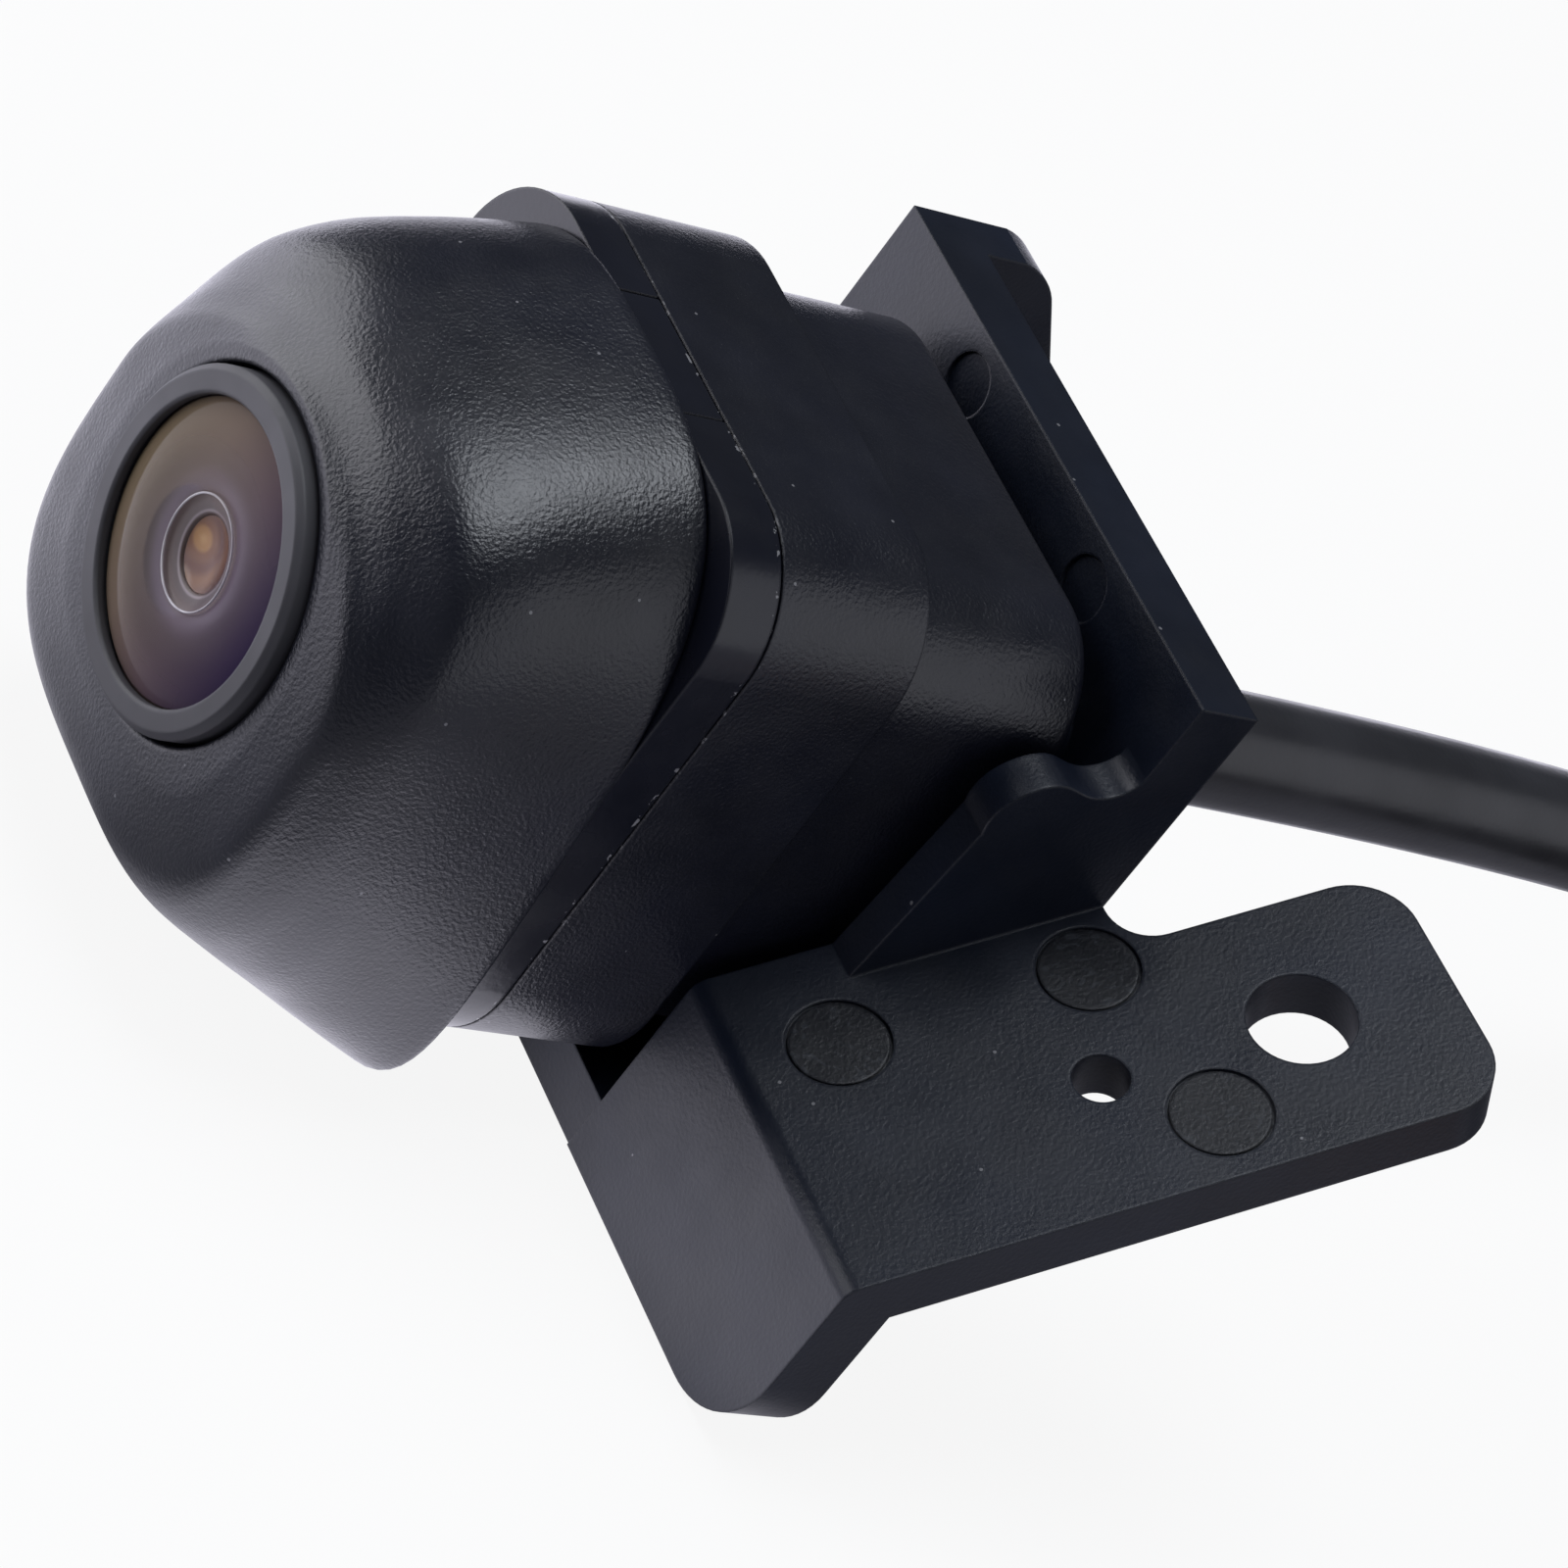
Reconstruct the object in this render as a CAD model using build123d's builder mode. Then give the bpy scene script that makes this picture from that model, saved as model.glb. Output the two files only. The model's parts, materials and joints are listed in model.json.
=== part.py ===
"""Backup camera in its moulded angle bracket, with its cable and connector.

Millimetres, +Z up. The bracket's flat base pad lies on Z = 0 and the origin is the middle of that pad.
+Y points from the lens to the back of the camera, and +X to the side that the screw wing is on.
Depths are counted backwards (+Y) from the front face of the housing's flange.
"""
import os
from math import asin, cos, pi, radians, sin, tan

from build123d import *

os.makedirs("parts", exist_ok=True)

# ---- driving dimensions -------------------------------------------------------------------------------
# camera body
axis_height = 15.0            # optical axis above the base
flange_y = -16.2              # front face of the flange
body_half_width = 11.7        # flange and middle section
body_half_height = 12.75
body_corner = 4.65
seam_depth = 2.25             # where front and rear housing meet
seam_gap = 0.12
step_depth = 9.2              # where the body steps in
rear_half_width = 11.1
rear_half_height = 11.0
rear_corner = 4.2
rear_depth = 18.5
wall = 1.5

# nose cover: (forward of flange, half width, drop, rise, lower exponent, upper exponent, taper)
nose_stations = [
    (0.0, 12.15, 14.8, 13.3, 5.3, 3.15, 0.08),
    (3.0, 12.05, 14.1, 12.4, 4.2, 3.2, 0.07),
    (6.0, 11.9, 13.15, 11.4, 3.55, 3.2, 0.06),
    (8.5, 11.5, 12.2, 10.35, 3.35, 2.95, 0.035),
    (10.3, 10.75, 11.25, 9.15, 3.35, 2.1, 0.015),
    (11.2, 10.1, 10.05, 7.85, 3.4, 1.85, 0.005),
    (11.6, 7.75, 7.6, 7.4, 3.0, 2.0, 0.0),
]
nose_shift = 0.25             # the front of the nose leans this far towards -X before it closes on the lens
nose_length = 11.6
nose_points = 48              # round each section's outline
nose_wall = 1.5
nose_front_wall = 1.5
nose_bore = 6.9
tab_left, tab_right = -3.4, 3.0
tab_thickness = 1.0
tab_clearance = 0.1

# lens group, depths from the flange (in front of it, so negative)
ring_front = -12.27
ring_back = -10.6
ring_radius = 6.75
ring_opening = 5.65
lip = 0.4                     # thickness of the ring in front of the glass
barrel_radius = 6.0
barrel_front = -11.0
barrel_back = 1.8
tower_radius = 7.4
tower_front = -10.0

# boards
sensor_board_depth = 5.6
power_board_depth = 11.0
board_thickness = 1.0

# bracket
pad_half_depth = 6.6
pad_thickness = 2.4
bracket_left = -13.8
bracket_right = 13.7
side_wall = 1.7
back_plate = 2.75
back_height = 27.5
wing_angle = 32.3             # degrees from the base
wing_foot_y, wing_foot_z = -2.1, 12.0
wing_thickness = 2.3
front_tab_thickness = 2.7
wing_side = 26.95
wing_length = 21.05           # from the foot, along the wing
tongue_inner = 15.75
wing_corner = 2.5
front_tab_corner = 3.8
bend_radius = 0.9             # outside edge where the wing turns down into the front tab
screw_hole_radius = 2.1
screw_hole = (21.1, 15.0)     # across, along the wing
locating_hole_radius = 1.1
locating_hole = (21.15, 6.9)
ejector_radius = 2.0
ejector_marks = [(16.4, -1.5), (16.3, 8.5), (24.05, 10.4)]
ejector_depth = 0.04
ejector_rim, ejector_rim_depth = 0.1, 0.14
camera_screws = [(-7.5, 5.5), (7.5, -5.5)]
camera_screw_radius = 1.0

# cable: the tube's points, from inside the housing to the top turn of the coil
cable_radius = 2.5
cable_start_depth = 14.6
gland_end = 32.0
tie_thickness = 0.8
tie_width = 4.0
coil_x, coil_y = 27.0, 88.0
coil_radii = (24.5, 29.5)     # lower turns, and the top turn lies in the groove between them
lower_turn_z = tie_thickness + cable_radius
upper_turn_z = lower_turn_z + 2 * cable_radius * sin(pi / 3)
cable_points = [
    (0.0, flange_y + cable_start_depth, axis_height),
    (0.0, 17.8, axis_height),
    (0.0, 37.5, 14.5),
    (-0.3, 54.0, 12.9),
    (-0.5, 68.0, 10.2),
    (-0.3, 79.0, 8.3),
    (0.0, 88.0, upper_turn_z),
]
tail_points = [
    (56.5, 88.0, lower_turn_z),
    (57.0, 79.0, 3.4),
    (56.9, 70.0, 4.1),
    (56.5, 62.5, 4.7),
    (56.5, 57.0, 4.7),
]

# connector, lying on the base plane beside the coil, facing forward
plug_x = 56.5
plug_rear = 60.0              # y of its cable end
plug_shoulder = 44.0
plug_front = 38.0
plug_half_width = 6.5
plug_half_height = 4.7
plug_z = 4.7
nose_half_width = 5.3
nose_half_height = 3.5
terminal_pitch = 3.2
terminal_bore = 1.8
latch_pivot_y = 50.0
latch_pivot_z = 10.3
latch_pin_radius = 0.7


# ---- reference planes and helpers ---------------------------------------------------------------------
optical_axis = Axis((0, flange_y, axis_height), (0, 1, 0))
axial_plane = Plane(origin=(0, flange_y, axis_height), x_dir=(0, 1, 0), z_dir=(1, 0, 0))
wing_normal = Vector(0, -sin(radians(wing_angle)), cos(radians(wing_angle)))
wing_plane = Plane(origin=(0, wing_foot_y, wing_foot_z), x_dir=(1, 0, 0), z_dir=tuple(wing_normal))


def station(depth):
    """Plane across the optical axis. It faces forward, so a negative amount runs to the back."""
    return Plane(origin=(0, flange_y + depth, axis_height), x_dir=(1, 0, 0), z_dir=(0, -1, 0))


def turned(points, mode=Mode.ADD):
    """Revolve an outline of (depth, radius) points about the optical axis."""
    with BuildSketch(axial_plane) as outline:
        with BuildLine():
            Polyline(*points, close=True)
        make_face()
    revolve(outline.sketch, axis=optical_axis, mode=mode)


def block(front, back, half_width, half_height, corner, mode=Mode.ADD):
    """Rounded rectangular block round the optical axis, between two depths."""
    with BuildSketch(station(front)) as outline:
        RectangleRounded(2 * half_width, 2 * half_height, corner)
    extrude(outline.sketch, amount=front - back, mode=mode)


def hoop(front, back, half_width, half_height, corner, thickness, mode=Mode.ADD):
    """Rounded rectangular hoop round the optical axis, between two depths."""
    with BuildSketch(station(front)) as outline:
        RectangleRounded(2 * half_width, 2 * half_height, corner)
        RectangleRounded(2 * (half_width - thickness), 2 * (half_height - thickness), corner - thickness,
                         mode=Mode.SUBTRACT)
    extrude(outline.sketch, amount=front - back, mode=mode)


def bar(front, back, x_from, x_to, z_from, z_to, mode=Mode.ADD):
    """Plain bar between two depths, with x and z counted from the optical axis."""
    with BuildSketch(station(front)) as outline:
        with Locations(((x_from + x_to) / 2, (z_from + z_to) / 2)):
            Rectangle(x_to - x_from, z_to - z_from)
    extrude(outline.sketch, amount=front - back, mode=mode)


def pegs(front, back, places, radius, mode=Mode.ADD):
    """Round pegs or holes parallel to the optical axis."""
    with BuildSketch(station(front)) as outline:
        with Locations(*places):
            Circle(radius)
    extrude(outline.sketch, amount=front - back, mode=mode)


def face_line(pole, rim, radius):
    """Half of a lens face, from its pole on the axis to its rim: part of a sphere, or flat."""
    if pole == rim:
        return Line((pole, 0), (rim, radius))
    depth = abs(rim - pole)
    sphere = (radius ** 2 + depth ** 2) / (2 * depth)
    half_angle = asin(radius / sphere) / 2
    middle = pole + (rim - pole) / depth * sphere * (1 - cos(half_angle))
    return ThreePointArc((pole, 0), (middle, sphere * sin(half_angle)), (rim, radius))


def lens(front, back, radius, front_bulge, back_bulge, mode=Mode.ADD):
    """Lens between two depths. A positive bulge swells outwards, a negative one is hollow, and 0 is flat."""
    rim_front = front + max(front_bulge, 0)
    rim_back = back - max(back_bulge, 0)
    front_pole = rim_front - front_bulge
    back_pole = rim_back + back_bulge
    with BuildSketch(axial_plane) as outline:
        with BuildLine():
            face_line(front_pole, rim_front, radius)
            Line((rim_front, radius), (rim_back, radius))
            face_line(back_pole, rim_back, radius)
            Line((back_pole, 0), (front_pole, 0))
        make_face()
    revolve(outline.sketch, axis=optical_axis, mode=mode)


def finish(part, name):
    """Label a finished piece and write its STEP file."""
    part.label = name
    export_step(part, f"parts/{name}.step")


def nose_row(forward):
    """The nose's values at a distance in front of the flange, by monotone curves through its stations."""
    places = [row[0] for row in nose_stations]
    upper_end = next(i for i in range(1, len(places)) if forward <= places[i])
    gap = places[upper_end] - places[upper_end - 1]
    share = (forward - places[upper_end - 1]) / gap
    values = []
    for column in zip(*nose_stations):
        steps = [(b - a) / (q - p) for a, b, p, q in zip(column, column[1:], places, places[1:])]
        inner = [2 * a * b / (a + b) if a * b > 0 else 0.0 for a, b in zip(steps, steps[1:])]
        slopes = [steps[0], *inner, steps[-1]]
        start, end = column[upper_end - 1], column[upper_end]
        blend = share * share * (3 - 2 * share)
        values.append(start + (end - start) * blend
                      + gap * slopes[upper_end - 1] * share * (1 - share) ** 2
                      - gap * slopes[upper_end] * share ** 2 * (1 - share))
    return values


def nose_outline(row, inset):
    """Closed outline of the nose at one station, as points of a superellipse with a deeper chin."""
    forward, half_width, drop, rise, lower, upper, taper = row
    lean = nose_shift * sin(pi * forward / nose_length)
    points = []
    for step in range(nose_points):
        angle = 2 * pi * step / nose_points
        across, up = cos(angle), sin(angle)
        exponent = upper if up >= 0 else lower
        height = rise - inset if up >= 0 else min(drop - inset, body_half_height - 0.05 if inset else drop)
        z = height * (1 if up >= 0 else -1) * abs(up) ** (2 / exponent)
        x = (half_width - inset) * (1 if across >= 0 else -1) * abs(across) ** (2 / exponent)
        points.append((x * (1 - taper * z / body_half_height) - lean, z))
    return points


def nose_form(depth, sections, inset, mode=Mode.ADD):
    """Closed form of the nose from the flange forward to a depth, its sections closer together at the front."""
    outlines = []
    for step in range(sections + 1):
        forward = depth * (1 - (1 - step / sections) ** 1.5)
        with BuildSketch(station(-forward)) as section:
            with BuildLine():
                Spline(*nose_outline(nose_row(forward), inset), periodic=True)
            make_face()
        outlines.append(section.sketch)
    loft(outlines, ruled=True, mode=mode)


# ---- nose cover ---------------------------------------------------------------------------------------
with BuildPart() as nose_cover:
    nose_form(nose_length, 18, 0)
    nose_form(nose_length - nose_front_wall, 10, nose_wall, mode=Mode.SUBTRACT)
    pegs(-12.0, -9.0, [(0, 0)], nose_bore, mode=Mode.SUBTRACT)
    tab_low = body_half_height - tab_thickness
    bar(-1.5, seam_depth, tab_left, tab_right, tab_low, body_half_height)
    bar(-1.5, 0, tab_left, tab_right, -body_half_height - 0.6, -tab_low)
    bar(0, seam_depth, tab_left, tab_right, -body_half_height, -tab_low)
finish(nose_cover.part, "nose_cover")


# ---- front housing: flange, lens tower and the spigot that enters the rear housing ----------------------
spigot_half_width = body_half_width - wall - 0.05
spigot_half_height = body_half_height - wall - 0.05
spigot_corner = body_corner - wall - 0.05
spigot_depth = 5.0
spigot_wall = 1.75
groove_depth = 0.8
gasket_front, gasket_back = 3.0, 4.2
gasket_gap = 0.05
plate_depth = 1.4
oring_bore = 6.95
oring_bore_depth = 0.9
oring_section_radius = 0.43
spigot_inner_corner = 1.4
board_screws = [(-7.0, 7.0), (7.0, -7.0)]
post_radius, post_hole = 1.6, 0.7
post_hole_floor = 3.0

with BuildPart() as front_housing:
    block(0, seam_depth, body_half_width, body_half_height, body_corner)
    block(seam_depth, spigot_depth, spigot_half_width, spigot_half_height, spigot_corner)
    block(plate_depth, spigot_depth, spigot_half_width - spigot_wall, spigot_half_height - spigot_wall,
          spigot_inner_corner, mode=Mode.SUBTRACT)
    hoop(gasket_front, gasket_back, spigot_half_width, spigot_half_height, spigot_corner, groove_depth,
         mode=Mode.SUBTRACT)
    pegs(plate_depth, sensor_board_depth, board_screws, post_radius)
    pegs(post_hole_floor, sensor_board_depth, board_screws, post_hole, mode=Mode.SUBTRACT)
    pegs(tower_front, plate_depth, [(0, 0)], tower_radius)
    pegs(tower_front, plate_depth, [(0, 0)], barrel_radius, mode=Mode.SUBTRACT)
    pegs(tower_front, tower_front + oring_bore_depth, [(0, 0)], oring_bore, mode=Mode.SUBTRACT)
    notch_floor = body_half_height - tab_thickness - tab_clearance
    for low, high in [(notch_floor, body_half_height + 1), (-body_half_height - 1, -notch_floor)]:
        bar(0, seam_depth, tab_left - tab_clearance, tab_right + tab_clearance, low, high, mode=Mode.SUBTRACT)
finish(front_housing.part, "front_housing")

# ---- rear housing: wide front section, step, narrower rear section --------------------------------------
cavity_width = body_half_width - wall
cavity_height = body_half_height - wall
cavity_corner = body_corner - wall
rear_wall_depth = rear_depth - wall
rear_edge_radius = 0.5
gland_hole = 3.6
screw_boss_front, screw_boss_radius = 12.4, 2.2
screw_hole_floor = 13.0

with BuildPart() as rear_housing:
    block(seam_depth + seam_gap, step_depth, body_half_width, body_half_height, body_corner)
    block(step_depth, rear_depth, rear_half_width, rear_half_height, rear_corner)
    fillet(rear_housing.faces().sort_by(Axis.Y)[-1].edges(), rear_edge_radius)
    block(seam_depth + seam_gap, step_depth - wall, cavity_width, cavity_height, cavity_corner,
          mode=Mode.SUBTRACT)
    block(step_depth - wall, rear_wall_depth, rear_half_width - wall, rear_half_height - wall,
          rear_corner - wall, mode=Mode.SUBTRACT)
    pegs(screw_boss_front, rear_wall_depth, camera_screws, screw_boss_radius)
    pegs(screw_hole_floor, rear_depth, camera_screws, camera_screw_radius, mode=Mode.SUBTRACT)
    pegs(rear_wall_depth, rear_depth, [(0, 0)], gland_hole, mode=Mode.SUBTRACT)
finish(rear_housing.part, "rear_housing")

with BuildPart() as housing_gasket:
    hoop(gasket_front + gasket_gap, gasket_back - gasket_gap, cavity_width, cavity_height, cavity_corner,
         groove_depth + gasket_gap)
finish(housing_gasket.part, "housing_gasket")

# ---- lens group ---------------------------------------------------------------------------------------
with BuildPart() as lens_ring:
    turned([
        (ring_front, ring_opening + 0.1), (ring_front, ring_radius - 0.25), (ring_front + 0.25, ring_radius),
        (ring_back, ring_radius), (ring_back, barrel_radius), (ring_front + lip, barrel_radius),
        (ring_front + lip, ring_opening), (ring_front + 0.1, ring_opening),
    ])
finish(lens_ring.part, "lens_ring")

front_bore, rear_bore, rear_lip = 4.45, 3.65, 2.8
bore_step, lip_front = -7.6, 1.4
with BuildPart() as lens_barrel:
    turned([
        (barrel_front, front_bore), (barrel_front, barrel_radius), (barrel_back, barrel_radius),
        (barrel_back, rear_lip), (lip_front, rear_lip), (lip_front, rear_bore), (bore_step, rear_bore),
        (bore_step, front_bore),
    ])
finish(lens_barrel.part, "lens_barrel")

with BuildPart() as barrel_o_ring:
    with BuildSketch(axial_plane) as oring_section:
        with Locations((tower_front + oring_bore_depth / 2, (barrel_radius + oring_bore) / 2)):
            Circle(oring_section_radius)
    revolve(axis=optical_axis)
finish(barrel_o_ring.part, "barrel_o_ring")

dome_front, dome_radius, dome_bulge = -12.6, 5.95, 0.9
dome_hollow_front, dome_hollow_radius = -12.05, 4.1
dome_hollow = barrel_front - dome_hollow_front
second_front, second_back, second_hollow = -9.4, -8.1, 0.5
third_front, third_back = -7.0, -4.6
stop_front, stop_back, stop_opening = -3.4, -3.15, 0.9
rear_lens_front, rear_lens_back = -2.9, 0.7
filter_front, filter_radius = 1.05, 3.4
spacer_opening, rear_spacer_opening = 3.6, 3.1
with BuildPart() as front_lens:
    lens(dome_front, barrel_front, dome_radius, dome_bulge, 0)
    lens(dome_hollow_front, barrel_front + 0.5, dome_hollow_radius, dome_hollow, 0, mode=Mode.SUBTRACT)
finish(front_lens.part, "front_lens")

with BuildPart() as front_lens_spacer:
    turned([(barrel_front + 0.1, 4.15), (barrel_front + 0.1, front_bore), (second_front, front_bore),
            (second_front, spacer_opening), (second_front - 0.4, spacer_opening)])
finish(front_lens_spacer.part, "front_lens_spacer")

with BuildPart() as second_lens:
    lens(second_front, second_back, front_bore, 0, -second_hollow)
finish(second_lens.part, "second_lens")

with BuildPart() as third_lens:
    lens(third_front, third_back, rear_bore, 0.6, 0.5)
finish(third_lens.part, "third_lens")

with BuildPart() as rear_lens_spacer:
    turned([(-4.9, rear_spacer_opening), (-5.1, rear_bore), (stop_front, rear_bore),
            (stop_front, rear_spacer_opening)])
finish(rear_lens_spacer.part, "rear_lens_spacer")

with BuildPart() as aperture_stop:
    turned([(stop_front, stop_opening), (stop_front, rear_bore), (stop_back, rear_bore),
            (stop_back, stop_opening)])
finish(aperture_stop.part, "aperture_stop")

with BuildPart() as rear_lens:
    lens(rear_lens_front, rear_lens_back, rear_bore, 0.5, 0.4)
finish(rear_lens.part, "rear_lens")

with BuildPart() as infrared_filter:
    turned([(filter_front, 0), (filter_front, filter_radius), (lip_front, filter_radius), (lip_front, 0)])
finish(infrared_filter.part, "infrared_filter")

# ---- boards and what is on them -------------------------------------------------------------------------
board_half, board_corner = 8.9, 1.0
power_board_half_width, power_board_half_height = 8.8, 8.7
board_hole, board_screw_shank, board_screw_head = 0.8, 0.68, 1.4
board_screw_tip, board_screw_top = 3.3, 7.5
package_front, package_half_width, package_half_height = 4.9, 4.0, 3.5
window_front, window_half_width, window_half_height = 4.7, 3.2, 2.7
with BuildPart() as image_sensor:
    bar(package_front, sensor_board_depth, -package_half_width, package_half_width,
        -package_half_height, package_half_height)
    bar(window_front, package_front, -window_half_width, window_half_width,
        -window_half_height, window_half_height)
finish(image_sensor.part, "image_sensor")

with BuildPart() as sensor_board:
    block(sensor_board_depth, sensor_board_depth + board_thickness, board_half, board_half, board_corner)
    pegs(sensor_board_depth, sensor_board_depth + board_thickness, board_screws, board_hole, mode=Mode.SUBTRACT)
finish(sensor_board.part, "sensor_board")

with BuildPart() as sensor_board_screws:
    pegs(board_screw_tip, sensor_board_depth + board_thickness, board_screws, board_screw_shank)
    pegs(sensor_board_depth + board_thickness, board_screw_top, board_screws, board_screw_head)
finish(sensor_board_screws.part, "sensor_board_screws")

with BuildPart() as board_header:
    bar(sensor_board_depth + board_thickness, power_board_depth, -5.0, 5.0, 5.6, 7.6)
finish(board_header.part, "board_header")

power_board_back = power_board_depth + board_thickness
with BuildPart() as power_board:
    block(power_board_depth, power_board_back, power_board_half_width, power_board_half_height, board_corner)
finish(power_board.part, "power_board")

with BuildPart() as power_board_parts:
    bar(9.0, power_board_depth, -6.5, -2.5, -2.0, 2.0)
    pegs(8.4, power_board_depth, [(3.5, 0.5), (3.5, -4.5)], 1.7)
    bar(power_board_back, power_board_back + 0.9, -2.5, 2.5, 2.5, 6.5)
finish(power_board_parts.part, "power_board_parts")

can_back, can_half_width, can_low, can_high, can_sheet = 14.0, 4.6, 1.0, 8.0, 0.2
with BuildPart() as shield_can:
    bar(power_board_back, can_back, -can_half_width, can_half_width, can_low, can_high)
    bar(power_board_back, can_back - can_sheet, -can_half_width + can_sheet, can_half_width - can_sheet,
        can_low + can_sheet, can_high - can_sheet, mode=Mode.SUBTRACT)
finish(shield_can.part, "shield_can")

with BuildPart() as wire_header:
    bar(power_board_back, 14.8, -3.4, 3.4, -8.4, -5.2)
    bar(12.5, 14.4, -2.65, 2.65, -7.6, -5.2, mode=Mode.SUBTRACT)
finish(wire_header.part, "wire_header")

plug_wire_z = -3.7
with BuildPart() as wire_plug:
    bar(12.55, 14.35, -2.6, 2.6, -7.5, plug_wire_z)
finish(wire_plug.part, "wire_plug")

# ---- core wires: four, from the jacket's end down into the plug -----------------------------------------
wire_radius = 0.42
wire_depth = 13.45
with BuildPart() as core_wires:
    for wire_x in (-1.5, -0.5, 0.5, 1.5):
        with BuildLine() as wire_path:
            FilletPolyline(
                (wire_x, flange_y + cable_start_depth, axis_height),
                (wire_x, flange_y + wire_depth, axis_height),
                (wire_x, flange_y + wire_depth, axis_height + plug_wire_z),
                radius=1.0,
            )
        with BuildSketch(Plane(origin=wire_path.wire() @ 0, z_dir=wire_path.wire() % 0)) as wire_section:
            Circle(wire_radius)
        sweep(wire_section.sketch, path=wire_path.wire())
finish(core_wires.part, "core_wires")

# ---- what grips the cable -------------------------------------------------------------------------------
with BuildPart() as cable_clamp:
    turned([(14.75, cable_radius), (14.75, 3.0), (15.5, 3.0), (15.5, cable_radius)])
finish(cable_clamp.part, "cable_clamp")

gland_front, gland_radius = 15.6, 4.6
boot_radius, boot_end_radius, boot_taper_start = 4.2, 3.2, 23.2
boot_grooves, boot_groove_pitch, boot_groove_width, boot_groove_floor = 4, 1.8, 0.7, 3.3
with BuildPart() as cable_gland:
    turned([
        (gland_front, cable_radius), (gland_front, gland_radius), (rear_wall_depth, gland_radius),
        (rear_wall_depth, gland_hole), (rear_depth, gland_hole), (rear_depth, gland_radius),
        (19.8, gland_radius), (20.2, boot_radius), (boot_taper_start, boot_radius),
        (gland_end, boot_end_radius), (gland_end, cable_radius),
    ])
    for groove in range(boot_grooves):
        groove_at = boot_taper_start + 1.0 + boot_groove_pitch * groove
        turned([(groove_at, boot_groove_floor), (groove_at, gland_radius + 0.4),
                (groove_at + boot_groove_width, gland_radius + 0.4),
                (groove_at + boot_groove_width, boot_groove_floor)], mode=Mode.SUBTRACT)
finish(cable_gland.part, "cable_gland")

# ---- bracket --------------------------------------------------------------------------------------------
plate_front = pad_half_depth - back_plate
tab_face = -pad_half_depth - 0.1
slope = tan(radians(wing_angle))
tab_top = wing_foot_z + (tab_face - wing_foot_y) * slope
wing_front = (tab_face - wing_foot_y) / cos(radians(wing_angle))
side_inner = bracket_right - side_wall
side_low = wing_foot_z - (pad_half_depth + wing_foot_y) * slope
cable_hole = 5.0
standoff_radius = 2.4
arm_left, arm_right = bracket_left, bracket_left + 2.1
plate_mark_radius = 1.3
plate_marks = [(-5.7, 10.5), (5.4, 10.5)]
# the side wall's upper edge, as (y, z): up from the wing's foot, a wave, then the back plate's shoulder
side_edge = (-1.35, 19.9)
side_wave = [(-0.75, 22.2), (0.6, 22.8), (2.2, 22.5), (3.35, 22.9)]
side_shoulder = 24.2
# the wing's inner notch, along the wing
notch_low, notch_radius = 10.2, 1.8
# the arm's outline, as (y, z)
arm_root, arm_low = pad_half_depth - 0.5, 9.5
arm_top = [(8.7, back_height), (10.2, 26.9), (11.2, 25.9)]
arm_tip = [(15.6, 19.8), (16.1, 18.1), (15.2, 16.4)]
screw_clearance = 0.1

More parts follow.
